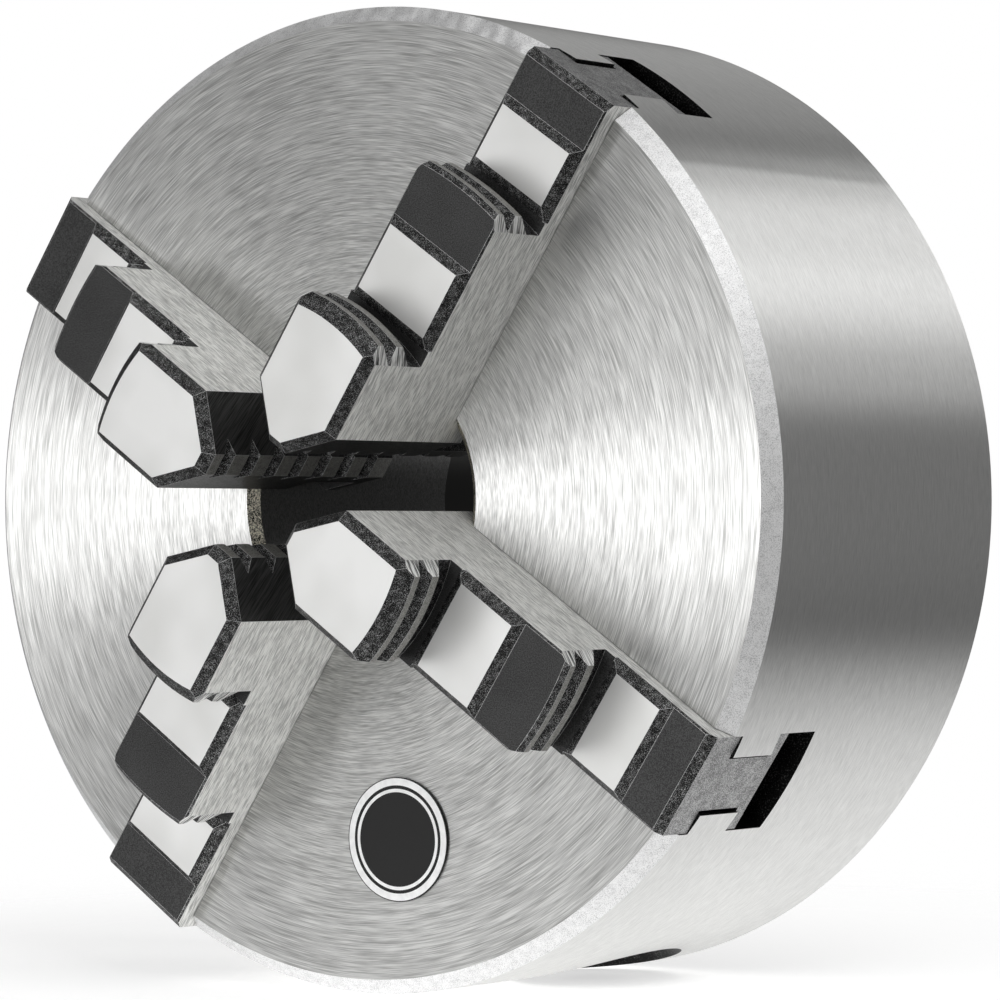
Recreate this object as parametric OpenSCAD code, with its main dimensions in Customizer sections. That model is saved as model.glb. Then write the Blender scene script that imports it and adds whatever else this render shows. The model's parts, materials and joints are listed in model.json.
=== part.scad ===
// Four-jaw self-centring scroll chuck, rear mounted, with one-piece stepped jaws.
// The spindle axis is Y, the jaws face -Y and +Z is up, as the chuck hangs on a lathe.
// The origin is the centre of the rear rim, which seats on the lathe's adaptor plate.
// Depths are measured back from the front face, heights stand out in front of it.

/* [Body] */
// Outside diameter of the body
body_d = 160; // [158:0.5:164]
// Length of the body from rear rim to front face
body_len = 66; // [65:0.5:70]
// Chamfer round the front face
face_chamfer = 2.5; // [0.5:0.1:3]
// Diameter of the through bore
bore_d = 44; // [40:1:46]
// Chamfer at the mouth of the bore
bore_chamfer = 1.6; // [0.5:0.1:2]
// Diameter of the rear register that centres the chuck
register_d = 130; // [129.6:0.1:131]
// Depth of the rear register
register_depth = 5; // [4:0.5:5.5]

/* [Jaw slots] */
// Width of the slot at the front face and at its bottom
slot_w = 18.6; // [18.5:0.05:18.8]
// Width of the slot between its two lips
slot_neck_w = 11; // [10.4:0.1:12]
// Depth of the front part of the slot, down to the lips
slot_lip_depth = 4.7; // [4.65:0.05:5]
// Depth of the back of the lips
slot_shelf_depth = 15.3; // [15:0.05:15.4]
// Depth of the slot's bottom
slot_depth = 25.2; // [25:0.1:25.6]

/* [Jaws] */
// Angle of jaw 1 above the horizontal
jaw_clock = 56.2; // [0:0.1:90]
// Width of a jaw
jaw_w = 18.4; // [18:0.05:18.45]
// Width of the jaw's neck between the slot's lips
jaw_neck_w = 9.8; // [9:0.1:10.2]
// Distance of the gripping tips from the spindle axis
jaw_tip_r = 9.8; // [9.4:0.1:12]
// Width of a gripping tip
jaw_tip_w = 3.8; // [3:0.1:4.4]
// Distance of the jaw's outer end from the spindle axis
jaw_end_r = 79.3; // [76:0.1:80]
// Height of the inner, highest step
step_top = 29.2; // [28:0.1:30]
// Drop from each step to the next
step_drop = 12.3; // [12:0.1:12.6]

/* [Scroll] */
// Radial lead of the spiral thread per turn
scroll_pitch = 8; // [8:0.1:8.2]
// Outside diameter of the scroll
scroll_d = 114.4; // [114:0.1:114.6]
// Width of the spiral ridge
thread_w = 3.6; // [3.2:0.1:3.6]

/* [Pinions] */
// Diameter of the holes in the side for the key pinions
pinion_hole_d = 27; // [27:0.02:27.2]
// Depth of the pinion axes behind the front face
pinion_depth = 44.6; // [44.4:0.1:44.8]
// Square socket for the chuck key, across its flats
key_square = 10; // [8:0.5:10]

/* [Fasteners] */
// Number of screws that hold the rear cover
cover_screws = 8; // [4:4:8]
// Diameter of the circle of the three mounting holes
mount_pcd = 142; // [140:0.5:144]

/* [Hidden] */
$fn = 96;

steel = [0.74, 0.74, 0.73];
dark_steel = [0.33, 0.33, 0.34];
black = [0.08, 0.08, 0.08];

slack = 0.05;                  // radial clearance of every running fit
over = 1;                      // how far a cutter runs past the surface it cuts
body_r = body_d / 2;
bore_r = bore_d / 2;
rear_chamfer = 1;

// Chamber for the scroll, and the hub that the scroll turns on
chamber_depth = 18.5;
chamber_r = scroll_d / 2 + 0.3;
hub_r = bore_r + 4.5;

// Rear cover, seated behind the chamber and flush with the register's floor
cover_depth = 52;
cover_seat_r = register_d / 2 - 0.6;
cover_r = cover_seat_r - slack;
cover_screw_pcd = 120;
cover_screw_r = 2;
cover_head_r = 3.5;
cover_head_h = 4;
cover_screw_len = 16;
cover_hole_len = 27;            // threaded hole, from the rear rim

mount_hole_r = 3.4;
mount_hole_len = 16;
mount_angles = [28, 148, 268];  // from the pinion axis

// Scroll
scroll_bore_r = hub_r + slack;
scroll_sleeve_r = 33;
scroll_web_depth = slot_depth + 0.1;
scroll_sleeve_depth = cover_depth - 0.1;
thread_top_depth = 18.9;
thread_start_r = 30.5;
thread_end_r = scroll_d / 2 - thread_w / 2;

// Bevel gearing: 10 pinion teeth drive 50 teeth on the back of the scroll
scroll_teeth = 50;
pinion_teeth = 10;
gear_r = 57;                   // outer end of the teeth, from the spindle axis
gear_in_r = 45;                // inner end of the teeth
gear_end_r = scroll_d / 2 + 0.4;  // outer end of the pinion's teeth, just clear of the scroll
gear_pitch_r = gear_r * pinion_teeth / scroll_teeth;
tooth_addendum = 1.9;
tooth_dedendum = 2.5;
tooth_gap = 4.7;               // width of a tooth gap on the pitch line
scroll_flank = 20;             // slope of the scroll's tooth flanks
pinion_flank = 33;             // slope of the sides of a gap in the pinion

// Pinion
pinion_r = pinion_hole_d / 2 - slack;
pinion_end_r = body_r - 1.7;
pinion_groove_r = 10.5;
pinion_groove_at = 71;         // middle of the groove, from the spindle axis
pinion_groove_w = 5.4;
pinion_screw_r = 2.5;
socket_len = 16;

// Jaw
jaw_half = jaw_w / 2;
jaw_top_depth = 4.6;           // underside of the wide upper part
flange_depth = 15.5;           // top of the flange that runs behind the lips
flange_end_depth = 18;
tooth_depth = 24.8;
nose_r = jaw_tip_r - jaw_tip_w / 2;
step_2 = step_top - step_drop;
step_3 = step_2 - step_drop;
pad_drop = 1.35;               // from a ground pad to the unground plane beside it
pad_half = 7.66;               // half width of a ground pad
bevel_slope = 1.1;             // drop of the bevels round the pads for each unit of width
riser_1 = 32.1;                // radius of the upper outside gripping arc
riser_2 = 56.3;                // radius of the lower one
riser_out = 2.3;               // how far the gripping ribs stand out
relief = 1;                    // depth of the relief at the foot of a riser
pads = [[35.1, 46.6, step_2], [59.9, 69.5, step_3]];  // from, to, height

// Badge
badge_r = 10;
badge_at = 55.2;
badge_clock = -81.5;
badge_h = 0.4;

function zd(depth) = body_len - depth;
function zh(height) = body_len + height;
function jaw_angle(k) = jaw_clock - 90 * (k - 1);
function pinion_angle(k) = jaw_clock - 135 + 180 * (k - 1);

module on_spindle(angle = 0) {
  rotate([90, 0, 0]) rotate([0, 0, angle]) children();
}

module x_rod(r, from, to, r_to = undef) {
  translate([from, 0, 0]) rotate([0, 90, 0])
    cylinder(h = to - from, r1 = r, r2 = is_undef(r_to) ? r : r_to);
}

// A bar along X from x0 to x1 and z0 to z1, centred on the XZ plane
module bar(x0, x1, width, z0, z1) {
  translate([x0, -width / 2, z0]) cube([x1 - x0, width, z1 - z0]);
}

module jaw_slot() {
  bar(0, body_d, slot_w, zd(slot_lip_depth), zh(over));
  bar(0, body_d, slot_neck_w, zd(slot_shelf_depth) - over, zd(slot_lip_depth) + over);
  bar(0, body_d, slot_w, zd(slot_depth), zd(slot_shelf_depth));
}

module pinion_hole() {
  lead = 0.8;
  rim = sqrt(pow(body_r, 2) - pow(pinion_hole_d / 2, 2));
  translate([0, 0, zd(pinion_depth)]) {
    x_rod(pinion_hole_d / 2, hub_r + 10, body_d);
    x_rod(pinion_hole_d / 2, rim - lead, rim + 3 * lead, pinion_hole_d / 2 + 4 * lead);
  }
}

module body() {
  color(steel) on_spindle() difference() {
    rotate_extrude($fn = 180) polygon([
      [bore_r + bore_chamfer, body_len],
      [body_r - face_chamfer, body_len],
      [body_r, body_len - face_chamfer],
      [body_r, rear_chamfer],
      [body_r - rear_chamfer, 0],
      [register_d / 2, 0],
      [register_d / 2, register_depth],
      [cover_seat_r, register_depth],
      [cover_seat_r, zd(cover_depth)],
      [chamber_r, zd(cover_depth)],
      [chamber_r, zd(chamber_depth)],
      [hub_r, zd(chamber_depth)],
      [hub_r, zd(cover_depth)],
      [bore_r, zd(cover_depth)],
      [bore_r, body_len - bore_chamfer]]);
    for (k = [1:4]) rotate(jaw_angle(k)) jaw_slot();
    for (k = [1:2]) rotate(pinion_angle(k)) {
      pinion_hole();
      translate([pinion_groove_at, 0, -over]) cylinder(h = 14, r = pinion_screw_r);
    }
    for (k = [1:cover_screws]) rotate(cover_screw_angle(k))
      translate([cover_screw_pcd / 2, 0, 0]) cylinder(h = cover_hole_len, r = cover_screw_r);
    for (a = mount_angles) rotate(pinion_angle(1) + a)
      translate([mount_pcd / 2, 0, -over]) cylinder(h = mount_hole_len + over, r = mount_hole_r);
  }
}

function cover_screw_angle(k) = pinion_angle(1) + (k - 0.5) * 360 / cover_screws;

module cover_plate() {
  pocket_r = pinion_hole_d / 2 + 0.5;
  color(steel) on_spindle() difference() {
    rotate_extrude($fn = 180) polygon([
      [bore_r, register_depth],
      [cover_r, register_depth],
      [cover_r, zd(cover_depth)],
      [bore_r, zd(cover_depth)]]);
    for (k = [1:2]) rotate(pinion_angle(k)) translate([0, 0, zd(pinion_depth)])
      x_rod(pocket_r, gear_in_r - 3, body_r);
    for (k = [1:cover_screws]) rotate(cover_screw_angle(k))
      translate([cover_screw_pcd / 2, 0, 0]) {
        cylinder(h = body_len / 2, r = cover_screw_r + 0.2);
        cylinder(h = register_depth + cover_head_h + 0.3, r = cover_head_r + 0.3);
      }
  }
}

// Socket-head screw with its head on the cover, seen from behind
module cover_screw(k) {
  head_z = register_depth + 0.3;
  hex_r = 1.75;
  color(dark_steel) on_spindle(cover_screw_angle(k))
    translate([cover_screw_pcd / 2, 0, head_z]) difference() {
      union() {
        cylinder(h = cover_head_h, r = cover_head_r);
        cylinder(h = cover_head_h + cover_screw_len, r = cover_screw_r);
      }
      translate([0, 0, -over]) cylinder(h = 2 + over, r = hex_r, $fn = 6);
    }
}

// Grub screw whose dog point stands in the pinion's groove and keeps the pinion in
module pinion_screw(k) {
  hex_r = 1.45;
  tip_z = zd(pinion_depth) - pinion_groove_r - 0.3;
  color(dark_steel) on_spindle(pinion_angle(k)) translate([pinion_groove_at, 0, 0.4])
    difference() {
      cylinder(h = tip_z - 0.4, r = pinion_screw_r);
      translate([0, 0, -over]) cylinder(h = 2.5 + over, r = hex_r, $fn = 6);
    }
}

function spiral_point(radius, turn) = radius * [cos(turn), sin(turn)];
function ridge_r(turn) = thread_start_r + scroll_pitch * turn / 360;

// Spiral ridge, growing outwards counter-clockwise as seen from the front
module scroll_thread() {
  step = 5;
  last = floor((thread_end_r - thread_start_r) / scroll_pitch * 360 / step) * step;
  linear_extrude(zd(thread_top_depth) - zd(scroll_web_depth) + over) polygon(concat(
    [for (t = [0:step:last]) spiral_point(ridge_r(t) - thread_w / 2, t)],
    [for (t = [last:-step:0]) spiral_point(ridge_r(t) + thread_w / 2, t)]));
}

// Wedge whose sides meet on a line through the gears' apex, at floor_r from the X axis
// at the teeth's outer end. It opens towards +Z, or towards -Z with side = -1.
module gap_wedge(floor_r, flank, side = 1) {
  reach = 12;
  half = reach * tan(flank);
  rotate([0, -atan(floor_r / gear_r), 0]) rotate([90, 0, 90])
    linear_extrude(gear_r * 1.2) polygon([[0, 0], [half, side * reach], [-half, side * reach]]);
}

// The back of the scroll: tooth gaps in a band between two cones that meet at the apex
module scroll_gaps() {
  top = gear_pitch_r + tooth_dedendum;
  line_r = gear_pitch_r + tooth_gap / 2 / tan(scroll_flank);
  from_r = gear_in_r - 4;
  to_r = gear_r + 2;
  intersection() {
    rotate_extrude() polygon([[from_r, top * from_r / gear_r], [to_r, top * to_r / gear_r],
                              [to_r, 0], [from_r, 0]]);
    for (i = [0:scroll_teeth - 1]) rotate(i * 360 / scroll_teeth)
      gap_wedge(line_r, scroll_flank, -1);
  }
}

module scroll() {
  tip = gear_pitch_r - tooth_addendum;
  color(steel) on_spindle() difference() {
    union() {
      rotate_extrude($fn = 180) polygon([
        [scroll_bore_r, zd(scroll_web_depth)],
        [scroll_d / 2, zd(scroll_web_depth)],
        [scroll_d / 2, zd(pinion_depth) + tip],
        [gear_r, zd(pinion_depth) + tip],
        [gear_in_r, zd(pinion_depth) + tip * gear_in_r / gear_r],
        [gear_in_r - 3, zd(pinion_depth) + tip * gear_in_r / gear_r],
        [gear_in_r - 3, zd(pinion_depth) + tip + 3],
        [scroll_sleeve_r, zd(pinion_depth) + tip + 3],
        [scroll_sleeve_r, zd(scroll_sleeve_depth)],
        [scroll_bore_r, zd(scroll_sleeve_depth)]]);
      translate([0, 0, zd(scroll_web_depth) - over]) scroll_thread();
    }
    translate([0, 0, zd(pinion_depth)]) rotate(pinion_angle(1)) scroll_gaps();
  }
}

// Key pinion along X: journal with a retaining groove, square socket, bevel teeth
module pinion_along_x() {
  chamfer = 0.8;
  tip = gear_pitch_r + tooth_addendum;
  root = gear_pitch_r - tooth_dedendum;
  line_r = gear_pitch_r - tooth_gap / 2 / tan(pinion_flank);
  scale_in = gear_in_r / gear_r;
  scale_out = gear_end_r / gear_r;
  groove_0 = pinion_groove_at - pinion_groove_w / 2;
  groove_1 = groove_0 + pinion_groove_w;
  difference() {
    union() {
      x_rod(tip * scale_in, gear_in_r, gear_end_r, tip * scale_out);
      x_rod(pinion_r, gear_end_r, groove_0);
      x_rod(pinion_groove_r, groove_0, groove_1);
      x_rod(pinion_r, groove_1, pinion_end_r - chamfer);
      x_rod(pinion_r, pinion_end_r - chamfer, pinion_end_r, pinion_r - chamfer);
    }
    bar(pinion_end_r - socket_len, pinion_end_r + over, key_square, -key_square / 2, key_square / 2);
    intersection() {
      difference() {
        x_rod(20, gear_in_r, gear_end_r);
        x_rod(root * scale_in, gear_in_r, gear_end_r, root * scale_out);
      }
      for (i = [0:pinion_teeth - 1]) rotate([(i + 0.5) * 360 / pinion_teeth, 0, 0])
        gap_wedge(line_r, pinion_flank);
    }
  }
}

module pinion(k) {
  color(dark_steel) on_spindle(pinion_angle(k)) translate([0, 0, zd(pinion_depth)])
    pinion_along_x();
}

// Solid inside a gripping riser: ribs and grooves turned about the spindle axis
module riser(groove_r, top, foot) {
  rib_r = groove_r + riser_out;
  rotate_extrude() polygon([
    [0, foot - relief - over],
    [groove_r, foot - relief - over],
    [groove_r, top - 10],
    [rib_r, top - 8.2],
    [rib_r, top - 6.6],
    [groove_r, top - 5],
    [rib_r, top - 3.4],
    [rib_r, top - 2.1],
    [groove_r, top],
    [0, top]]);
}

// Corner chamfers in plan at both ends of a riser
module riser_corners(groove_r) {
  x0 = sqrt(pow(groove_r, 2) - pow(jaw_half, 2));
  for (s = [-1, 1]) linear_extrude(3 * body_len) polygon([
    [x0, s * (jaw_half + 0.01)], [x0 + 3, s * (jaw_half - 1.4)],
    [x0 + 6, s * (jaw_half - 1.4)], [x0 + 6, s * (jaw_half + over)], [x0, s * (jaw_half + over)]]);
}

// Long bevels along both sides of a step, as wide as the pad stands in from the jaw's
// side. They run on along the lower plane beside the pad, where only their foot is left.
module pad_bevels(x0, x1, top) {
  run = jaw_half - pad_half + over;
  for (s = [0, 1]) mirror([0, s, 0]) translate([x0, 0, top]) rotate([90, 0, 90])
    linear_extrude(x1 - x0) polygon([
      [pad_half, 0], [pad_half + run, -run * bevel_slope],
      [pad_half + run, over], [pad_half, over]]);
}

// One step: ground pad, then the lower unground plane out to x_end
module step_block(pad_end, x_end, low, top) {
  rotate([90, 0, 0]) translate([0, 0, -jaw_half]) linear_extrude(jaw_w) polygon([
    [0, low], [x_end, low], [x_end, top - pad_drop],
    [pad_end + pad_drop, top - pad_drop], [pad_end, top], [0, top]]);
}

// Relief cut straight across the foot of a riser, with a sloping outer side
module relief_cut(riser_r, pad_start, top) {
  rotate([90, 0, 0]) translate([0, 0, -jaw_w]) linear_extrude(2 * jaw_w) polygon([
    [riser_r - 3, top - relief], [pad_start - 1.8, top - relief],
    [pad_start, top], [pad_start, top + over], [riser_r - 3, top + over]]);
}

// Bevel round the nose of the highest step: two flanks and the tip
module nose_bevels(top) {
  run = jaw_half - pad_half;
  outline = [[-run, 0], [over, -(run + over) * bevel_slope], [over, over], [-run, over]];
  for (s = [0, 1]) mirror([0, s, 0]) translate([nose_r, 0, top]) rotate([0, 0, 45])
    rotate([90, 0, 90]) linear_extrude(30) polygon(outline);
  translate([jaw_tip_r, -jaw_half, top]) rotate([90, 0, 180]) linear_extrude(jaw_w) polygon(outline);
}

// V grooves across the gripping tip
module tip_grooves() {
  pitch = 6.1;
  open_w = 2.8;
  deep = 1.8;
  first = 25.4;
  rotate([90, 0, 0]) translate([0, 0, -jaw_half]) linear_extrude(jaw_w)
    for (i = [0:6]) translate([jaw_tip_r, zh(first - i * pitch)])
      polygon([[-over, 0], [0, 0], [deep, -open_w / 2], [0, -open_w], [-over, -open_w]]);
}

// Crescent teeth that ride in the spiral. They are shorter in radius outside and
// longer inside than any turn of the thread, so they clear it at every position.
module jaw_teeth(k) {
  slip = scroll_pitch / 360;
  tooth_w = scroll_pitch - thread_w - 0.3;
  inner_arc = 75;
  outer_arc = 24;
  lead = scroll_pitch / (2 * PI);
  phase = thread_start_r + slip * (((jaw_angle(k) % 360) + 360) % 360) + scroll_pitch / 2;
  for (n = [-2:4]) let (mid = phase + n * scroll_pitch) if (mid > 14 && mid < 74)
    translate([0, 0, zd(tooth_depth)]) linear_extrude(tooth_depth - flange_end_depth + over)
      intersection() {
        translate([mid - 10, -jaw_half]) square([20, jaw_w]);
        difference() {
          translate([mid + tooth_w / 2 - outer_arc, lead]) circle(outer_arc);
          translate([mid - tooth_w / 2 - inner_arc, lead]) circle(inner_arc);
        }
      }
}

module jaw_outline() {
  linear_extrude(3 * body_len) polygon([
    [jaw_tip_r, -jaw_tip_w / 2], [nose_r + jaw_half, -jaw_half], [jaw_end_r, -jaw_half],
    [jaw_end_r, jaw_half], [nose_r + jaw_half, jaw_half], [jaw_tip_r, jaw_tip_w / 2]]);
}

module jaw(k) {
  end_chamfer = 1.4;
  grip_1 = zh(step_top);
  grip_2 = zh(step_2);
  grip_3 = zh(step_3);
  color(dark_steel) on_spindle(jaw_angle(k)) intersection() {
    jaw_outline();
    difference() {
      union() {
        difference() {
          step_block(pads[1][1], jaw_end_r, zd(jaw_top_depth), grip_3);
          relief_cut(riser_2, pads[1][0], grip_3);
        }
        difference() {
          intersection() {
            step_block(pads[0][1], riser_2 + 4, grip_3 - relief - over, grip_2);
            riser(riser_2, grip_2, grip_3);
          }
          riser_corners(riser_2);
          relief_cut(riser_1, pads[0][0], grip_2);
        }
        difference() {
          intersection() {
            bar(0, riser_1 + 4, jaw_w, grip_2 - relief - over, grip_1);
            riser(riser_1, grip_1, grip_2);
          }
          riser_corners(riser_1);
        }
        bar(0, jaw_end_r, jaw_neck_w, zd(flange_depth) - over, zd(jaw_top_depth) + over);
        bar(0, jaw_end_r, jaw_w, zd(flange_end_depth), zd(flange_depth));
        jaw_teeth(k);
      }
      pad_bevels(0, riser_1 + 6, grip_1);
      pad_bevels(riser_1 + 1.5, riser_2 + 6, grip_2);
      pad_bevels(riser_2 + 1.5, jaw_end_r + over, grip_3);
      nose_bevels(grip_1);
      tip_grooves();
      rotate([90, 0, 0]) translate([0, 0, -jaw_half]) linear_extrude(jaw_w) polygon([
        [jaw_end_r - end_chamfer, grip_3 - pad_drop],
        [jaw_end_r + over, grip_3 - pad_drop - end_chamfer - over],
        [jaw_end_r + over, grip_3]]);
    }
  }
}

module badge() {
  color(black) on_spindle(badge_clock) translate([badge_at, 0, body_len])
    cylinder(h = badge_h, r = badge_r);
}

body();
cover_plate();
scroll();
pinion(1);  // pinion_1
pinion(2);  // pinion_2
pinion_screw(1);  // pinion_screw_1
pinion_screw(2);  // pinion_screw_2
jaw(1);  // jaw_1
jaw(2);  // jaw_2
jaw(3);  // jaw_3
jaw(4);  // jaw_4
cover_screw(1);  // cover_screw_1
cover_screw(2);  // cover_screw_2
cover_screw(3);  // cover_screw_3
cover_screw(4);  // cover_screw_4
cover_screw(5);  // cover_screw_5
cover_screw(6);  // cover_screw_6
cover_screw(7);  // cover_screw_7
cover_screw(8);  // cover_screw_8
badge();
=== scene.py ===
"""Looks of the lathe chuck: finished steel, gripping pads, badge, studio and camera."""

import json
import math

import bmesh
import bpy
from mathutils import Matrix, Vector


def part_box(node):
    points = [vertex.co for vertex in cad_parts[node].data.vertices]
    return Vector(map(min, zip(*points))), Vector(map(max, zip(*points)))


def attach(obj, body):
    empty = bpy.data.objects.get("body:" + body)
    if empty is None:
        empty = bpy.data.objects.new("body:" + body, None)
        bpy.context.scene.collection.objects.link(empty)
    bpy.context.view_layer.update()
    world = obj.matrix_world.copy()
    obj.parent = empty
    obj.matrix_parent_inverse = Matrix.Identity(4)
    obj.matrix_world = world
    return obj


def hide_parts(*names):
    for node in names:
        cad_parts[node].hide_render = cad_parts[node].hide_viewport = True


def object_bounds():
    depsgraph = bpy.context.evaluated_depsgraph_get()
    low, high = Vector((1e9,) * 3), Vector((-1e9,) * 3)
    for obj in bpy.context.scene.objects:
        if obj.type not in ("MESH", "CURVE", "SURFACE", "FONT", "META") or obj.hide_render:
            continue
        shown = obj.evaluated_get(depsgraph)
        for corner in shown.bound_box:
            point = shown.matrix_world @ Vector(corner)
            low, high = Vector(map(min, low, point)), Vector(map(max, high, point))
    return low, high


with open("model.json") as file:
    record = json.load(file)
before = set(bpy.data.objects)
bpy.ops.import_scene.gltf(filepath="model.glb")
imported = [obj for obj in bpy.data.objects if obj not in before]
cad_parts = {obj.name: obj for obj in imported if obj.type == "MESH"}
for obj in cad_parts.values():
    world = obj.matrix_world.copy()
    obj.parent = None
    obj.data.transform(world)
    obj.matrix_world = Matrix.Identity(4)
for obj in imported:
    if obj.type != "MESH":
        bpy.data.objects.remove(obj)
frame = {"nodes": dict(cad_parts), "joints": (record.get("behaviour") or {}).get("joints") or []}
cad_low, cad_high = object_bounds()

MM = 0.001

# Sizes that come from the frame
body_low, body_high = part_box("body")
BODY_R = body_high.z
BODY_LEN = -body_low.y
FACE_Y = body_low.y
JAWS = {j["child"]: Vector(j["axis"]) for j in frame["joints"] if j["type"] == "slide"}
PINIONS = {
    j["child"]: j
    for j in frame["joints"]
    if j["type"] == "hinge" and j["child"].startswith("pinion")
}
STEP_TOP = FACE_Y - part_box("jaw_1")[0].y

# Sizes that the boxes don't give, as the CAD model has them
FACE_CHAMFER = 2.5 * MM
REAR_CHAMFER = 1.0 * MM
BORE_R = 22 * MM
BORE_CHAMFER = 1.6 * MM
REGISTER_R = 65 * MM
REGISTER_DEPTH = 5 * MM
SEAT_R = 64.4 * MM
COVER_DEPTH = 52 * MM
CHAMBER_R = 57.5 * MM
CHAMBER_DEPTH = 18.5 * MM
HUB_R = 26.5 * MM
SLOT_HALF = 9.3 * MM
SLOT_NECK_HALF = 5.5 * MM
SLOT_DEPTHS = (4.7 * MM, 15.3 * MM, 25.2 * MM)
PINION_HOLE_R = 13.5 * MM
PINION_Y = FACE_Y + 44.6 * MM
PINION_HOLE_START = HUB_R + 10 * MM
PINION_HOLE_LEAD = 0.8 * MM
PINION_SCREW_R = 2.5 * MM
PINION_SCREW_AT = 71 * MM
PINION_SCREW_HOLE_LEN = 12 * MM
COVER_SCREWS = 8
COVER_SCREW_R = 2 * MM
COVER_HOLE_LEN = 27 * MM
COVER_SCREW_AT = 60 * MM
MOUNT_HOLE_R = 3.4 * MM
MOUNT_HOLE_AT = 71 * MM
MOUNT_HOLE_LEN = 16 * MM
MOUNT_ANGLES = (28, 148, 268)
STEP_DROP = 12.3 * MM
JAW_HALF = 9.2 * MM
JAW_END_R = 79.3 * MM
RIB_GROOVE_RADII = (32.1 * MM, 56.3 * MM)
RIB_LAND = (1.9 * MM, 2.6 * MM)
RIB_FOOT = 4 * MM

# How the meshes are made
RING_SEGMENTS = 288
OVERCUT = 1 * MM
BODY_EDGE = 0.14 * MM
JAW_EDGE = 0.14 * MM

# ---------------------------------------------------------------- materials


class Shader:
    """A material's node tree, with short calls for the nodes that the finishes use."""

    def __init__(self, name, metallic=1.0):
        self.material = bpy.data.materials.new(name)
        self.material.use_nodes = True
        self.tree = self.material.node_tree
        self.bsdf = self.tree.nodes["Principled BSDF"]
        self.bsdf.inputs["Metallic"].default_value = metallic

    def node(self, kind, inputs=None, **settings):
        """A new node, its inputs set to values or linked from sockets."""
        n = self.tree.nodes.new(kind)
        for key, value in settings.items():
            setattr(n, key, value)
        for key, value in (inputs or {}).items():
            if isinstance(value, bpy.types.NodeSocket):
                self.tree.links.new(value, n.inputs[key])
            else:
                n.inputs[key].default_value = value
        return n

    def math(self, operation, a, b=0.0, clamp=False):
        return self.node("ShaderNodeMath", {0: a, 1: b}, operation=operation, use_clamp=clamp).outputs[0]

    def vector(self, operation, a, b=(0, 0, 0)):
        n = self.node("ShaderNodeVectorMath", {0: a, 1: b}, operation=operation)
        return n.outputs["Value" if operation in ("LENGTH", "DOT_PRODUCT") else "Vector"]

    def scaled(self, a, factor):
        n = self.node("ShaderNodeVectorMath", {0: a, "Scale": factor}, operation="SCALE")
        return n.outputs["Vector"]

    def combine(self, x, y, z):
        return self.node("ShaderNodeCombineXYZ", {0: x, 1: y, 2: z}).outputs[0]

    def separate(self, vector):
        return self.node("ShaderNodeSeparateXYZ", {0: vector}).outputs

    def blend(self, *parts):
        """The sum of (share, value) parts."""
        total = self.math("MULTIPLY", parts[0][1], parts[0][0])
        for share, value in parts[1:]:
            total = self.math("ADD", total, self.math("MULTIPLY", value, share))
        return total

    def position(self):
        return self.node("ShaderNodeTexCoord").outputs["Object"]

    def noise(self, vector, scale=1.0, detail=2.0, roughness=0.5):
        n = self.node(
            "ShaderNodeTexNoise",
            {"Vector": vector, "Scale": scale, "Detail": detail, "Roughness": roughness},
        )
        return n.outputs["Fac"]

    def ramp(self, value, stops):
        """Maps value through (place, grey or colour) stops."""
        n = self.node("ShaderNodeValToRGB", {"Fac": value})
        while len(n.color_ramp.elements) < len(stops):
            n.color_ramp.elements.new(0.5)
        for element, (place, colour) in zip(n.color_ramp.elements, stops):
            element.position = place
            grey = isinstance(colour, (int, float))
            element.color = (colour, colour, colour, 1) if grey else (*colour, 1)
        return n.outputs["Color"]

    def span(self, value, low, high, start=0.0, end=1.0):
        """Stretches a value that runs from start to end so that it runs from low to high."""
        n = self.node(
            "ShaderNodeMapRange",
            {"Value": value, "From Min": start, "From Max": end, "To Min": low, "To Max": high},
        )
        return n.outputs["Result"]

    def mix(self, factor, a, b, blend="MIX"):
        n = self.node("ShaderNodeMix", data_type="RGBA", blend_type=blend)
        for socket, value in (("Factor_Float", factor), ("A_Color", a), ("B_Color", b)):
            target = next(s for s in n.inputs if s.identifier == socket)
            if isinstance(value, bpy.types.NodeSocket):
                self.tree.links.new(value, target)
            else:
                target.default_value = value
        return next(s for s in n.outputs if s.identifier == "Result_Color")

    def set(self, **inputs):
        """Sets or links the shader's own inputs."""
        for key, value in inputs.items():
            socket = self.bsdf.inputs[key.replace("_", " ")]
            if isinstance(value, bpy.types.NodeSocket):
                self.tree.links.new(value, socket)
            else:
                socket.default_value = value

    def bump(self, height, strength, distance):
        n = self.node("ShaderNodeBump", {"Height": height, "Strength": strength, "Distance": distance})
        self.set(Normal=n.outputs["Normal"])

    def tangent_round_y(self):
        n = self.node("ShaderNodeTangent", direction_type="RADIAL", axis="Y")
        self.set(Tangent=n.outputs[0])


# Radius at which ring grain has its stated length
RING_GRAIN_R = 60 * MM
# Noise value that gets the middle tone of a brushed finish
LINE_CENTRE = 0.49


def grain_vector(shader, lay, line, length, axis=None):
    """Coordinates in which noise comes out as fine lines, line apart and length long.

    lay is "face" for rings on a turned face, "side" for rings round a cylinder, or
    "along" for straight lines along axis. Rings have their stated length at RING_GRAIN_R.
    """
    p = shader.position()
    if lay == "along":
        along = shader.vector("DOT_PRODUCT", p, tuple(axis))
        stretch = shader.math("MULTIPLY", along, 1 / length - 1 / line)
        return shader.vector("ADD", shader.scaled(p, 1 / line), shader.scaled(tuple(axis), stretch))
    x, y, z = shader.separate(p)
    flat = shader.combine(x, 0.0, z)
    across = shader.vector("LENGTH", flat) if lay == "face" else y
    ring = shader.separate(shader.vector("NORMALIZE", flat))
    turns = RING_GRAIN_R / length
    return shader.combine(
        shader.math("MULTIPLY", ring[0], turns),
        shader.math("MULTIPLY", across, 1 / line),
        shader.math("MULTIPLY", ring[2], turns),
    )


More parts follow.
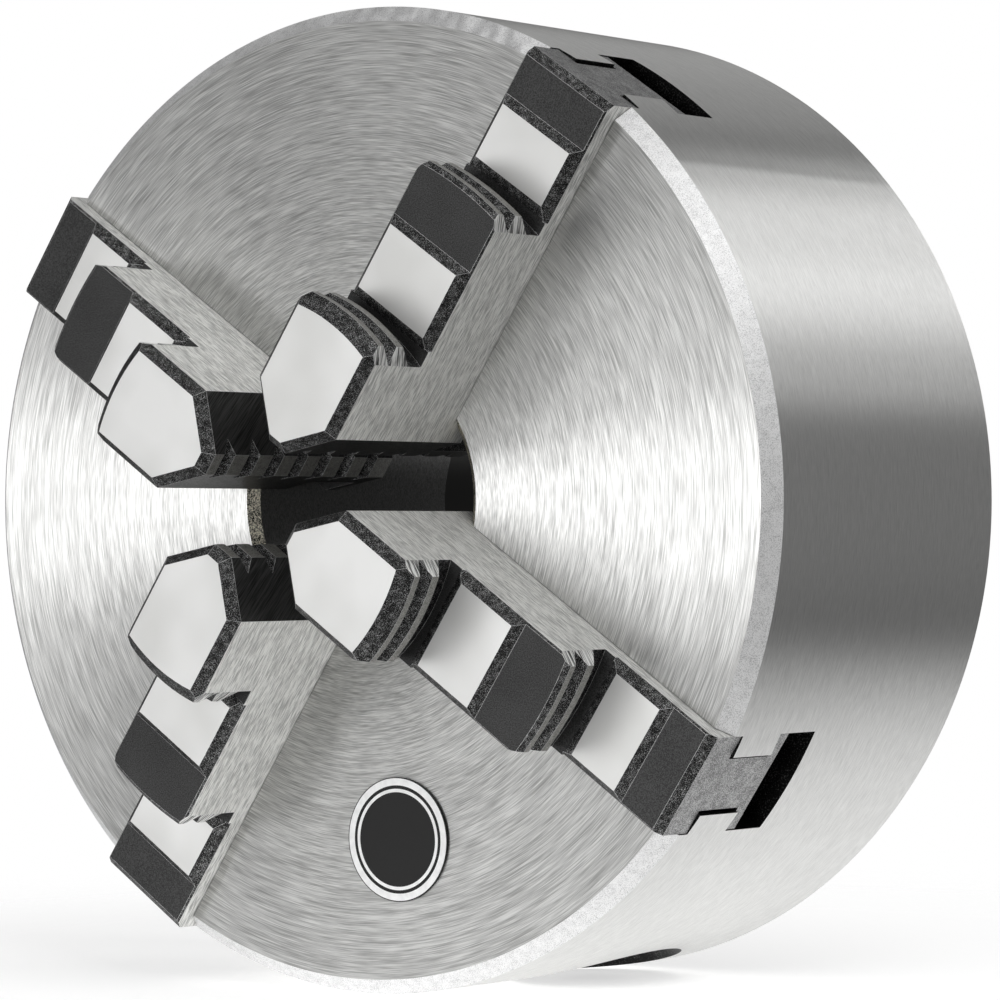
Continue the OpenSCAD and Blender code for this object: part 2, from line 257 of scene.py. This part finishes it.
def brushed_steel(
    name, lay, tones, rough, line, length, axis=None, anisotropy=0.75, tint=(1.0, 1.0, 0.985),
    metallic=1.0, spread=0.13, painted_shade_inside=None,
):
    """Steel with a directional finish: fine lines over wider, softer bands.

    tones is (darkest, lightest) base grey, and rough (lowest, highest) roughness. A small
    spread gives the lines more contrast. Within the radius painted_shade_inside, if there is
    one, the steel is painted black, as painted shade deep in a bore.
    """
    s = Shader(name, metallic)
    fine = s.noise(grain_vector(s, lay, line, length, axis), 1.0, 3.0, 0.65)
    wide = s.noise(grain_vector(s, lay, line * 4, length * 1.8, axis), 1.0, 1.0)
    hair = s.noise(grain_vector(s, lay, line * 0.45, length * 0.5, axis), 1.0, 0.0)
    mixed = s.blend((0.55, fine), (0.15, wide), (0.3, hair))
    low, high = tones
    colour = s.ramp(
        mixed,
        [(LINE_CENTRE - spread, [low * c for c in tint]),
         (LINE_CENTRE, [(low + high) / 2 * c for c in tint]),
         (LINE_CENTRE + spread, [high * c for c in tint])],
    )
    # Painted shade: inside the radius the colour turns near black, standing in for the shade deep in the
    # bore.
    if painted_shade_inside is not None:
        x, _, z = s.separate(s.position())
        radius = s.vector("LENGTH", s.combine(x, 0.0, z))
        inside = s.math("LESS_THAN", radius, painted_shade_inside)
        colour = s.mix(inside, colour, (0.06, 0.06, 0.058, 1))
    s.set(
        Base_Color=colour, Roughness=s.span(mixed, rough[1], rough[0], start=0.38, end=0.62),
        Anisotropic=anisotropy, Anisotropic_Rotation=0.25,
    )
    s.bump(mixed, 0.25, 0.02 * MM)
    if lay == "along":
        s.set(Tangent=s.combine(*axis))
    else:
        s.tangent_round_y()
    return s.material


def grainy_steel(name, dark, light, grain, rough, coverage, metallic=1.0):
    """Blasted or as-forged steel: light specks on a dark ground, more of it the higher coverage is."""
    s = Shader(name, metallic)
    p = s.position()
    specks = s.noise(p, 1 / grain, 2.0, 0.7)
    clouds = s.noise(p, 0.12 / grain, 2.0)
    mixed = s.blend((0.8, specks), (0.2, clouds))
    colour = s.ramp(mixed, [(coverage - 0.09, dark), (coverage + 0.1, light)])
    s.set(Base_Color=colour, Roughness=s.span(specks, rough - 0.1, rough + 0.15))
    s.bump(specks, 0.5, 0.05 * MM)
    return s.material


def ground_pad():
    """Ground gripping pad: pale satin steel with the faintest grinding lines."""
    s = Shader("ground_pad", 0.5)
    p = s.position()
    soft = s.noise(p, 90, 1.0)
    lines = s.noise(s.vector("MULTIPLY", p, (2500, 300, 2500)), 1.0, 1.0)
    s.set(
        Base_Color=s.ramp(soft, [(0.3, (0.68, 0.68, 0.665)), (0.7, (0.8, 0.8, 0.79))]),
        Roughness=s.span(lines, 0.36, 0.44),
    )
    s.bump(soft, 0.08, 0.05 * MM)
    return s.material


def black_oxide(name, grey, rough, uneven=0.35):
    """Matt black oxide with a fine tooth, its grey varying by the uneven share."""
    s = Shader(name, 0.35)
    p = s.position()
    tooth = s.noise(p, 1 / (0.18 * MM), 3.0, 0.7)
    clouds = s.noise(p, 120, 2.0)
    mixed = s.blend((0.9, tooth), (0.1, clouds))
    s.set(
        Base_Color=s.ramp(mixed, [(0.4, grey * (1 - uneven)), (0.62, grey * (1 + uneven))]),
        Roughness=s.span(tooth, rough - 0.06, rough + 0.1),
    )
    s.bump(tooth, 0.25, 0.03 * MM)
    return s.material


def enamel(name, grey, rough, gloss=0.5):
    """Printed enamel of the badge, with a slight orange peel."""
    s = Shader(name, 0.0)
    s.set(Specular_IOR_Level=gloss)
    p = s.position()
    peel = s.noise(p, 900, 2.0)
    s.set(
        Base_Color=s.ramp(peel, [(0.3, grey * 0.92), (0.7, min(grey * 1.08, 1.0))]),
        Roughness=s.span(peel, rough - 0.05, rough + 0.08),
    )
    s.bump(peel, 0.1, 0.02 * MM)
    return s.material


# Every rounded edge gets this light rim: partly edge wear, partly a painted highlight along the edge.
EDGE = grainy_steel(
    "edge_wear_and_highlight", dark=0.5, light=0.95, grain=0.12 * MM, rough=0.4, coverage=0.45, metallic=0.5)
SPECKLED = grainy_steel(
    "speckled_black", dark=0.02, light=0.85, grain=0.12 * MM, rough=0.5, coverage=0.61)
# Slot walls, holes and the other inside faces of the body are painted near black as shade.
SLOT_STEEL = grainy_steel(
    "inside_painted_shade", dark=0.012, light=0.16, grain=0.3 * MM, rough=0.45, coverage=0.62)
BORE_CHAMFER_STEEL = grainy_steel(
    "bore_chamfer", dark=0.02, light=(1.0, 0.95, 0.8), grain=0.26 * MM, rough=0.45, coverage=0.5)
BLASTED = grainy_steel(
    "blasted_chamfer", dark=0.5, light=0.92, grain=0.16 * MM, rough=0.42, coverage=0.44, metallic=0.5)
JAW_END = grainy_steel(
    "jaw_end", dark=0.14, light=0.6, grain=0.2 * MM, rough=0.45, coverage=0.52, metallic=0.6)
TURNED = brushed_steel(
    "turned_face", "face", tones=(0.48, 0.92), rough=(0.46, 0.52), line=0.22 * MM, length=7 * MM,
    anisotropy=1.0, spread=0.12)
GROUND_SIDE = brushed_steel(
    "ground_side", "side", tones=(0.66, 0.84), rough=(0.39, 0.44), line=0.17 * MM, length=2.2 * MM,
    anisotropy=1.0)
# The bore wall's dark greys are painted shade of the deep bore.
BORE_STEEL = brushed_steel(
    "bore_wall", "side", tones=(0.1, 0.24), rough=(0.4, 0.5), line=0.2 * MM, length=1.5 * MM)
REAR_STEEL = brushed_steel(
    "turned_rear", "face", tones=(0.4, 0.7), rough=(0.28, 0.42), line=0.3 * MM, length=14 * MM)
# The cover plate's own bore, deep inside the chuck's bore, is painted black as shade.
COVER_STEEL = brushed_steel(
    "cover_steel", "face", tones=(0.4, 0.7), rough=(0.28, 0.42), line=0.3 * MM, length=14 * MM,
    painted_shade_inside=BORE_R + 0.5 * MM)
SCROLL_STEEL = brushed_steel(
    "scroll_steel", "face", tones=(0.2, 0.5), rough=(0.3, 0.45), line=0.3 * MM, length=10 * MM)
PINION_STEEL = brushed_steel(
    "pinion_steel", "side", tones=(0.1, 0.3), rough=(0.3, 0.45), line=0.3 * MM, length=5 * MM)
RIB_END = brushed_steel(
    "rib_end", "side", tones=(0.05, 1.0), rough=(0.35, 0.5), line=0.4 * MM, length=6 * MM,
    metallic=0.5, spread=0.06)
NOSE_SCRATCHES = (Vector(PINIONS["pinion_2"]["axis"]) + Vector((0, 1.2, 0))).normalized()
NOSE_BLACK = brushed_steel(
    "nose_black", "along", tones=(0.004, 0.07), rough=(0.35, 0.5), line=0.22 * MM, length=7 * MM,
    axis=NOSE_SCRATCHES, anisotropy=0.0, metallic=0.35, spread=0.09)
UNGROUND = black_oxide("unground_black", grey=0.042, rough=0.55, uneven=0.75)
BLACK_SCREW = black_oxide("black_screw", grey=0.03, rough=0.4)
PAD = ground_pad()

# ---------------------------------------------------------------- mesh tools


def add_object(name, mesh, materials=()):
    obj = bpy.data.objects.new(name, mesh)
    bpy.context.scene.collection.objects.link(obj)
    for m in materials:
        mesh.materials.append(m)
    return obj


def lathe(name, profile, segments):
    """A closed ring turned round the Y axis from (radius, y) points."""
    bm = bmesh.new()
    rings = []
    for i in range(segments):
        a = 2 * math.pi * i / segments
        rings.append([bm.verts.new((r * math.cos(a), y, r * math.sin(a))) for r, y in profile])
    for i in range(segments):
        here, following = rings[i], rings[(i + 1) % segments]
        for k in range(len(profile)):
            j = (k + 1) % len(profile)
            bm.faces.new((here[k], here[j], following[j], following[k]))
    return finished_mesh(name, bm)


def finished_mesh(name, bm):
    bmesh.ops.recalc_face_normals(bm, faces=bm.faces)
    mesh = bpy.data.meshes.new(name)
    bm.to_mesh(mesh)
    bm.free()
    return mesh


def block(bm, low, high, turn):
    """A box between two corners in the slot's own frame, placed by turn."""
    made = bmesh.ops.create_cube(bm, size=1.0)["verts"]
    size = [h - l for l, h in zip(low, high)]
    middle = [(h + l) / 2 for l, h in zip(low, high)]
    place = turn @ Matrix.Translation(middle) @ Matrix.Diagonal((*size, 1))
    bmesh.ops.transform(bm, matrix=place, verts=made)


def rod(bm, radius, start, end, turn, radius_end=None, segments=64):
    """A cylinder or cone along the frame's X axis, from start to end."""
    made = bmesh.ops.create_cone(
        bm, cap_ends=True, segments=segments, radius1=radius,
        radius2=radius if radius_end is None else radius_end, depth=end - start,
    )["verts"]
    lay = Matrix.Translation(((start + end) / 2, 0, 0)) @ Matrix.Rotation(math.pi / 2, 4, "Y")
    bmesh.ops.transform(bm, matrix=turn @ lay, verts=made)


def outward(direction):
    """Frame whose X axis is a radial direction and whose Z axis points out of the front face."""
    x = Vector(direction).normalized()
    z = Vector((0, -1, 0))
    y = z.cross(x)
    return Matrix((x, y, z)).transposed().to_4x4()


def at_angle(degrees):
    a = math.radians(degrees)
    return outward((math.cos(a), 0, math.sin(a)))


def subtract(obj, bm, name):
    """Cuts the solids in bm out of obj."""
    cutter = add_object(name, finished_mesh(name, bm))
    cut = obj.modifiers.new("cut", "BOOLEAN")
    cut.object = cutter
    cut.operation = "DIFFERENCE"
    cut.solver = "EXACT"
    apply_modifiers(obj)
    bpy.data.objects.remove(cutter)


def apply_modifiers(obj):
    graph = bpy.context.evaluated_depsgraph_get()
    mesh = bpy.data.meshes.new_from_object(obj.evaluated_get(graph))
    obj.modifiers.clear()
    old = obj.data
    obj.data = mesh
    bpy.data.meshes.remove(old)


def soften(obj, width):
    """Rounds every hard edge by width in the last material, then shades flats flat and rounds round."""
    bevel = obj.modifiers.new("edges", "BEVEL")
    bevel.width = width
    bevel.segments = 2
    bevel.limit_method = "ANGLE"
    bevel.angle_limit = math.radians(30)
    bevel.material = len(obj.data.materials) - 1
    bevel.use_clamp_overlap = True
    bevel.miter_outer = "MITER_ARC"
    apply_modifiers(obj)
    obj.data.shade_smooth()
    obj.data.set_sharp_from_angle(angle=math.radians(50))
    shade = obj.modifiers.new("shading", "WEIGHTED_NORMAL")
    shade.mode = "FACE_AREA"
    shade.weight = 80
    shade.keep_sharp = True
    apply_modifiers(obj)


def round_normals(obj, *materials):
    """Gives the faces of these materials, which lie on cylinders round Y, true round normals."""
    mesh = obj.data
    radial_slots = [mesh.materials.find(m.name) for m in materials]
    normals = [Vector(c.vector) for c in mesh.corner_normals]
    for face in mesh.polygons:
        if face.material_index not in radial_slots:
            continue
        for corner in face.loop_indices:
            at = mesh.vertices[mesh.loops[corner].vertex_index].co
            radial = Vector((at.x, 0, at.z)).normalized()
            normals[corner] = radial if radial.dot(face.normal) > 0 else -radial
    mesh.normals_split_custom_set(normals)


def paint(obj, finishes, chooser):
    """Gives every face the one of the named finishes that chooser(centre, normal) names."""
    obj.data.materials.clear()
    for material in finishes.values():
        obj.data.materials.append(material)
    slots = {name: i for i, name in enumerate(finishes)}
    for face in obj.data.polygons:
        face.material_index = slots[chooser(face.center, face.normal)]


def place(obj, body, slot, *nodes):
    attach(obj, body)
    if nodes:
        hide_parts(*nodes)


# ---------------------------------------------------------------- body


def pinion_angles():
    return [math.degrees(math.atan2(j["axis"][2], j["axis"][0])) for j in PINIONS.values()]


def cut_slots(obj):
    bm = bmesh.new()
    lip, shelf, floor = SLOT_DEPTHS
    front = BODY_LEN
    out = 2 * BODY_R
    for axis in JAWS.values():
        turn = outward(axis)
        block(bm, (0, -SLOT_HALF, front - lip), (out, SLOT_HALF, front + OVERCUT), turn)
        block(bm, (0, -SLOT_HALF, front - floor), (out, SLOT_HALF, front - shelf), turn)
    subtract(obj, bm, "slots")
    bm = bmesh.new()
    for axis in JAWS.values():
        low = (0, -SLOT_NECK_HALF, front - shelf - OVERCUT)
        block(bm, low, (out, SLOT_NECK_HALF, front - lip + OVERCUT), outward(axis))
    subtract(obj, bm, "slot_necks")


def rear_hole(bm, angle, distance, radius, start, end, segments):
    """A hole along the spindle, drilled from the rear at a distance from it."""
    upright = Matrix.Rotation(-math.pi / 2, 4, "Y")
    shift = Matrix.Translation((distance, 0, 0))
    rod(bm, radius, start, end, at_angle(angle) @ shift @ upright, segments=segments)


def cut_holes(obj):
    first = pinion_angles()[0]
    level = Matrix.Translation((0, PINION_Y, 0))
    bm = bmesh.new()
    for angle in pinion_angles():
        turn = level @ at_angle(angle)
        rod(bm, PINION_HOLE_R, PINION_HOLE_START, 2 * BODY_R, turn, segments=96)
        rear_hole(bm, angle, PINION_SCREW_AT, PINION_SCREW_R, -OVERCUT, PINION_SCREW_HOLE_LEN, 32)
    for k in range(COVER_SCREWS):
        angle = first + 360 / COVER_SCREWS * (k + 0.5)
        rear_hole(bm, angle, COVER_SCREW_AT, COVER_SCREW_R, REGISTER_DEPTH, COVER_HOLE_LEN, 24)
    for angle in MOUNT_ANGLES:
        rear_hole(bm, first + angle, MOUNT_HOLE_AT, MOUNT_HOLE_R, -OVERCUT, MOUNT_HOLE_LEN, 40)
    subtract(obj, bm, "holes")
    bm = bmesh.new()
    rim = math.sqrt(BODY_R**2 - PINION_HOLE_R**2)
    start, end = rim - PINION_HOLE_LEAD, rim + 3 * PINION_HOLE_LEAD
    for angle in pinion_angles():
        turn = level @ at_angle(angle)
        rod(bm, PINION_HOLE_R, start, end, turn, PINION_HOLE_R + 4 * PINION_HOLE_LEAD, 96)
    subtract(obj, bm, "hole_leads")


# The edges' finish is last, as soften() has it
BODY_FINISHES = {
    "face": TURNED,
    "side": GROUND_SIDE,
    "front_chamfer": BLASTED,
    "bore_chamfer": BORE_CHAMFER_STEEL,
    "bore": BORE_STEEL,
    "rear": REAR_STEEL,
    "inside": SLOT_STEEL,
    "edge": EDGE,
}


def body_finish(centre, normal):
    """Which of BODY_FINISHES a face of the body has."""
    radius = math.hypot(centre.x, centre.z)
    radial = (normal.x * centre.x + normal.z * centre.z) / max(radius, 1e-9)
    if normal.y < -0.99 and centre.y < FACE_Y + 0.1 * MM:
        return "face"
    if radial > 0.99 and radius > BODY_R - 0.2 * MM:
        return "side"
    if radius > BODY_R - 3 * MM and normal.y < -0.3 and radial > 0.3 and centre.y < FACE_Y + 3 * MM:
        return "front_chamfer"
    if radius < BORE_R + 2 * MM and normal.y < -0.3 and radial < -0.3:
        return "bore_chamfer"
    if radial < -0.99 and radius < BORE_R + 0.3 * MM:
        return "bore"
    if normal.y > 0.5 or radius > SEAT_R and centre.y > -REGISTER_DEPTH - 1 * MM:
        return "rear"
    return "inside"


def make_body():
    profile = [
        (BORE_R + BORE_CHAMFER, FACE_Y),
        (BODY_R - FACE_CHAMFER, FACE_Y),
        (BODY_R, FACE_Y + FACE_CHAMFER),
        (BODY_R, -REAR_CHAMFER),
        (BODY_R - REAR_CHAMFER, 0),
        (REGISTER_R, 0),
        (REGISTER_R, -REGISTER_DEPTH),
        (SEAT_R, -REGISTER_DEPTH),
        (SEAT_R, FACE_Y + COVER_DEPTH),
        (CHAMBER_R, FACE_Y + COVER_DEPTH),
        (CHAMBER_R, FACE_Y + CHAMBER_DEPTH),
        (HUB_R, FACE_Y + CHAMBER_DEPTH),
        (HUB_R, FACE_Y + COVER_DEPTH),
        (BORE_R, FACE_Y + COVER_DEPTH),
        (BORE_R, FACE_Y + BORE_CHAMFER),
    ]
    name = "chuck_body_steel"
    obj = add_object(name, lathe(name, profile, RING_SEGMENTS))
    cut_slots(obj)
    cut_holes(obj)
    paint(obj, BODY_FINISHES, body_finish)
    soften(obj, BODY_EDGE)
    round_normals(obj, GROUND_SIDE, BORE_STEEL)
    place(obj, "chuck_body", "ground_steel", "body")


# ---------------------------------------------------------------- jaws


def tidy_copy(node, name):
    """A copy of a CAD node's mesh, with its triangles joined back into flat faces."""
    bm = bmesh.new()
    bm.from_mesh(frame["nodes"][node].data)
    bmesh.ops.remove_doubles(bm, verts=bm.verts, dist=0.002 * MM)
    bmesh.ops.dissolve_limit(
        bm, angle_limit=math.radians(0.4), use_dissolve_boundaries=False,
        verts=bm.verts, edges=bm.edges,
    )
    return finished_mesh(name, bm)


def jaw_finish(axis):
    """A chooser of the finishes that make_jaw names, for a jaw along axis."""
    across = Vector((0, -1, 0)).cross(axis)
    pads = [STEP_TOP - k * STEP_DROP for k in range(3)]
    lands = [(groove + RIB_LAND[0], groove + RIB_LAND[1]) for groove in RIB_GROOVE_RADII]

    def choose(centre, normal):
        height = FACE_Y - centre.y
        front, along, aside = -normal.y, normal.dot(axis), normal.dot(across)
        upright = abs(front) < 0.05
        radius = math.hypot(centre.x, centre.z)
        if front > 0.99:
            ground = any(abs(height - pad) < 0.3 * MM for pad in pads)
            return "pad" if ground else "unground"
        if abs(aside) > 0.99 and abs(centre.dot(across)) > JAW_HALF - 0.1 * MM:
            return "side"
        if along > 0.99 and centre.dot(axis) > JAW_END_R - 0.1 * MM:
            return "end"
        if along < -0.99:
            return "land"
        if upright and along < -0.5:
            return "nose"
        if upright and along > 0.6 and abs(aside) < 0.35 and height > RIB_FOOT:
            if any(low < radius < high for low, high in lands):
                return "land"
        if upright and along > 0.2 and abs(aside) > 0.5:
            return "rib_end"
        return "bevel"

    return choose


def make_jaw(node, axis):
    side = brushed_steel(
        f"{node}_side", "along", tones=(0.48, 1.0), rough=(0.34, 0.5), line=0.3 * MM,
        length=3 * MM, axis=axis, tint=(1.0, 1.0, 0.97), metallic=0.35, spread=0.08,
    )
    land = brushed_steel(
        f"{node}_land", "along", tones=(0.1, 0.42), rough=(0.35, 0.5), line=0.2 * MM,
        length=1.5 * MM, axis=axis, anisotropy=0.4, tint=(1.0, 0.99, 0.93), metallic=0.55,
    )
    # The edges' finish is last, as soften() has it
    finishes = {
        "pad": PAD,
        "unground": UNGROUND,
        "side": side,
        "end": JAW_END,
        "land": land,
        "nose": NOSE_BLACK,
        "bevel": SPECKLED,
        "rib_end": RIB_END,
        "edge": EDGE,
    }
    obj = add_object(f"{node}_steel", tidy_copy(node, f"{node}_steel"))
    paint(obj, finishes, jaw_finish(axis))
    soften(obj, JAW_EDGE)
    place(obj, node, "jaw_steel", node)


# ---------------------------------------------------------------- badge

BADGE_SEGMENTS = 96
BADGE_SINK = 0.02 * MM
BLACK, WHITE = 0, 1
BADGE_RINGS = [
    # outer radius, height over the plate, finish
    (10 * MM, 0.0, BLACK),
    (9.85 * MM, 0.02 * MM, WHITE),
    (8.7 * MM, 0.0, BLACK),
    (8.15 * MM, 0.02 * MM, WHITE),
    (7.6 * MM, 0.0, BLACK),
]


def make_badge():
    """Round plate with printed rings; its lettering is left out."""
    low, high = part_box("badge")
    middle = (low + high) / 2
    plate = low.y + BADGE_SINK
    steps = [(BADGE_RINGS[0][0], high.y, BLACK)]
    for (outer, lift, finish), (inner, _, _) in zip(BADGE_RINGS, BADGE_RINGS[1:]):
        steps += [(outer, plate - lift, finish), (inner, plate - lift, finish)]
    centre_r, centre_lift, centre_finish = BADGE_RINGS[-1]
    steps.append((centre_r, plate - centre_lift, centre_finish))
    angles = [2 * math.pi * i / BADGE_SEGMENTS for i in range(BADGE_SEGMENTS)]
    bm = bmesh.new()
    loops = [[bm.verts.new((r * math.cos(a), y, r * math.sin(a))) for a in angles] for r, y, _ in steps]
    for near, far, (_, _, finish) in zip(loops, loops[1:], steps[1:]):
        for i in range(BADGE_SEGMENTS):
            j = (i + 1) % BADGE_SEGMENTS
            face = bm.faces.new((near[i], near[j], far[j], far[i]))
            face.material_index = finish
    cap = bm.faces.new(loops[-1])
    cap.material_index = centre_finish
    bm.faces.new(reversed(loops[0]))
    bmesh.ops.translate(bm, verts=bm.verts, vec=(middle.x, 0, middle.z))
    black = enamel("badge_black", 0.008, 0.4, gloss=0.25)
    white = enamel("badge_white", 0.85, 0.35)
    obj = add_object("badge_plate", finished_mesh("badge_plate", bm), [black, white])
    place(obj, "chuck_body", "badge_black", "badge")


# ---------------------------------------------------------------- other CAD parts


def finish_cad_parts():
    """Finishes the CAD nodes that are shown as they are, by the first part of their names."""
    finishes = {
        "cover_plate": COVER_STEEL,
        "cover_screw": BLACK_SCREW,
        "pinion_screw": BLACK_SCREW,
        "pinion": PINION_STEEL,
        "scroll": SCROLL_STEEL,
    }
    for node, obj in frame["nodes"].items():
        if obj.hide_render:
            continue
        obj.data.materials.clear()
        obj.data.materials.append(next(m for start, m in finishes.items() if node.startswith(start)))


# ---------------------------------------------------------------- studio


ROOM_LIGHT = 0.1
FLOOR_GLOW = 0.6
# Distances from the floor's middle where it starts to fade and where it has gone
FLOOR_FADE = (0.09, 0.24)
LIGHT_DISTANCE = 1.3
AIM = Vector((0, -0.03, 0))
LIGHTS = {
    # degrees to the right of the spindle's front, degrees up, width and height in metres, watts
    "face_mirror": (-36, 0, 0.55, 0.5, 1.4),
    "front": (-12, 0, 0.6, 0.5, 2.2),
    "front_right": (10, 0, 0.5, 0.5, 5.0),
    "right_high": (60, 45, 0.8, 0.75, 5.0),
    "right": (100, 30, 0.6, 0.6, 2.0),
    "left_high": (-36, 45, 0.8, 0.75, 1.2),
    "above": (0, 88, 0.8, 0.75, 1.5),
    "rear_right": (155, 28, 0.4, 0.3, 0.4),
    "rear": (172, 30, 0.35, 0.3, 1.0),
}


def area_light(name, turn, lift, wide, tall, power):
    """A soft box at LIGHT_DISTANCE that faces the chuck."""
    turn, lift = math.radians(turn), math.radians(lift)
    toward = Vector((math.sin(turn) * math.cos(lift), -math.cos(turn) * math.cos(lift), math.sin(lift)))
    data = bpy.data.lights.new(name, "AREA")
    data.shape = "RECTANGLE"
    data.size = wide
    data.size_y = tall
    data.energy = power
    obj = bpy.data.objects.new(name, data)
    obj.location = AIM + LIGHT_DISTANCE * toward
    obj.rotation_euler = (-toward).to_track_quat("-Z", "Y").to_euler()
    bpy.context.scene.collection.objects.link(obj)


def pale_floor():
    """Matt pale floor that glows to light the chuck, and fades out into the background away from it."""
    s = Shader("pale_floor", 0.0)
    s.set(
        Base_Color=(0.8, 0.8, 0.8, 1), Roughness=0.9,
        Emission_Color=(1, 1, 1, 1), Emission_Strength=FLOOR_GLOW,
    )
    away = s.vector("LENGTH", s.position())
    fade = s.node(
        "ShaderNodeMapRange", {"Value": away, "From Min": FLOOR_FADE[0], "From Max": FLOOR_FADE[1]},
        interpolation_type="SMOOTHSTEP",
    )
    clear = s.node("ShaderNodeBsdfTransparent")
    both = s.node(
        "ShaderNodeMixShader",
        {0: fade.outputs["Result"], 1: s.bsdf.outputs[0], 2: clear.outputs[0]},
    )
    s.tree.links.new(both.outputs[0], s.tree.nodes["Material Output"].inputs["Surface"])
    return s.material


def studio_world():
    """White behind the object, and a dim grey room in its reflections."""
    world = bpy.data.worlds.new("studio")
    world.use_nodes = True
    tree = world.node_tree
    room = tree.nodes["Background"]
    room.inputs["Color"].default_value = (1, 1, 1, 1)
    room.inputs["Strength"].default_value = ROOM_LIGHT
    white = tree.nodes.new("ShaderNodeBackground")
    white.inputs["Color"].default_value = (1, 1, 1, 1)
    path = tree.nodes.new("ShaderNodeLightPath")
    mix = tree.nodes.new("ShaderNodeMixShader")
    tree.links.new(path.outputs["Is Camera Ray"], mix.inputs[0])
    tree.links.new(room.outputs[0], mix.inputs[1])
    tree.links.new(white.outputs[0], mix.inputs[2])
    tree.links.new(mix.outputs[0], tree.nodes["World Output"].inputs["Surface"])
    return world


def make_studio():
    bm = bmesh.new()
    bmesh.ops.create_circle(bm, cap_ends=True, segments=96, radius=FLOOR_FADE[1])
    bmesh.ops.translate(bm, verts=bm.verts, vec=(0, 0, cad_low.z))
    floor = add_object("floor", finished_mesh("floor", bm), [pale_floor()])
    bpy.context.scene.world = studio_world()
    for name, (turn, lift, wide, tall, power) in LIGHTS.items():
        area_light(name, turn, lift, wide, tall, power)


CAMERA_AT = Vector((0.44258, FACE_Y - 0.56079, -0.00487))
CAMERA_TURN = math.radians(36.45085)
CAMERA_TILT = math.radians(0.39007)
CAMERA_LENS = 158.75


def make_camera():
    """The photograph's viewpoint: CAMERA_TURN round to the right, and almost level."""
    data = bpy.data.cameras.new("camera")
    data.sensor_width = 36
    data.lens = CAMERA_LENS
    data.clip_start = 0.01
    obj = bpy.data.objects.new("camera", data)
    right = Vector((math.cos(CAMERA_TURN), math.sin(CAMERA_TURN), 0))
    level = Vector((-math.sin(CAMERA_TURN), math.cos(CAMERA_TURN), 0))
    forward = level * math.cos(CAMERA_TILT) + Vector((0, 0, math.sin(CAMERA_TILT)))
    up = right.cross(forward)
    obj.matrix_world = Matrix((right, up, -forward)).transposed().to_4x4()
    obj.location = CAMERA_AT
    bpy.context.scene.collection.objects.link(obj)
    bpy.context.scene.camera = obj


make_camera()
make_body()
for jaw, jaw_axis in JAWS.items():
    make_jaw(jaw, jaw_axis)
make_badge()
finish_cad_parts()
make_studio()
bpy.context.scene.view_settings.view_transform = "Standard"
